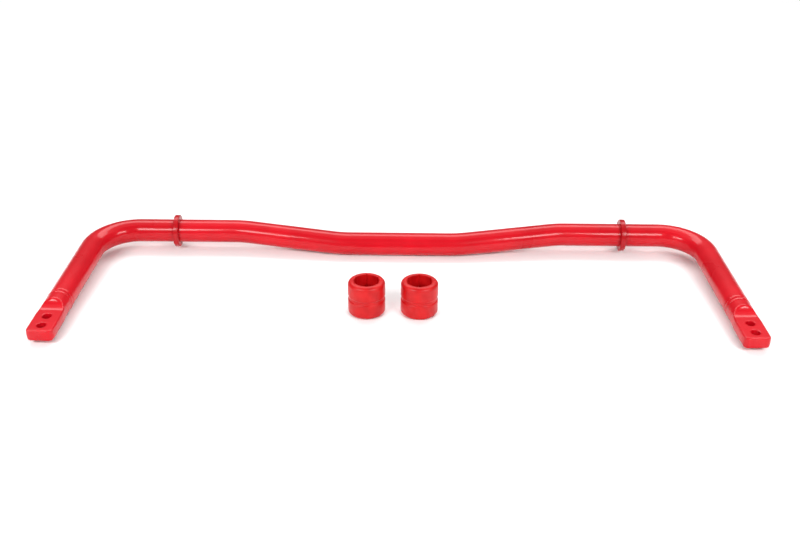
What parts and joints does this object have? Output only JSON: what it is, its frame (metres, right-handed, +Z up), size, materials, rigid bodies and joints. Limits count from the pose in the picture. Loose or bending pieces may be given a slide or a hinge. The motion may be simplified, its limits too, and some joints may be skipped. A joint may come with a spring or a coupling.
{
  "type": "sway bar",
  "caption": "Red tubular sway bar with a joggled centre run, forged drilled arm ends and locating rings, and its loose polyurethane bushings standing on end.",
  "frame": {"origin": "on the supporting surface, in the middle of the whole outline", "axes": "+X along the bar to the right, +Y from the arm ends back to the bar, +Z up"},
  "size_m": [0.9834, 0.3232, 0.052],
  "materials": {
    "bar_coat": "gloss red powder coat on spring steel tube",
    "ring_coat": "gloss red powder coat on turned steel ring",
    "bushing_red": "satin red cast polyurethane"
  },
  "bodies": {
    "bar": {"bar_tube": "bar_coat", "left_arm_end": "bar_coat", "right_arm_end": "bar_coat", "left_end_weld": "bar_coat", "right_end_weld": "bar_coat", "left_locating_ring": "ring_coat", "right_locating_ring": "ring_coat"},
    "left_bushing": {"left_bushing": "bushing_red"},
    "right_bushing": {"right_bushing": "bushing_red"}
  },
  "joints": [
    {"name": "left_bushing_lift", "type": "slide", "parent": "bar", "child": "left_bushing", "axis": [0, 0, 1], "range_m": [0, 0.12]},
    {"name": "right_bushing_lift", "type": "slide", "parent": "bar", "child": "right_bushing", "axis": [0, 0, 1], "range_m": [0, 0.12]}
  ]
}
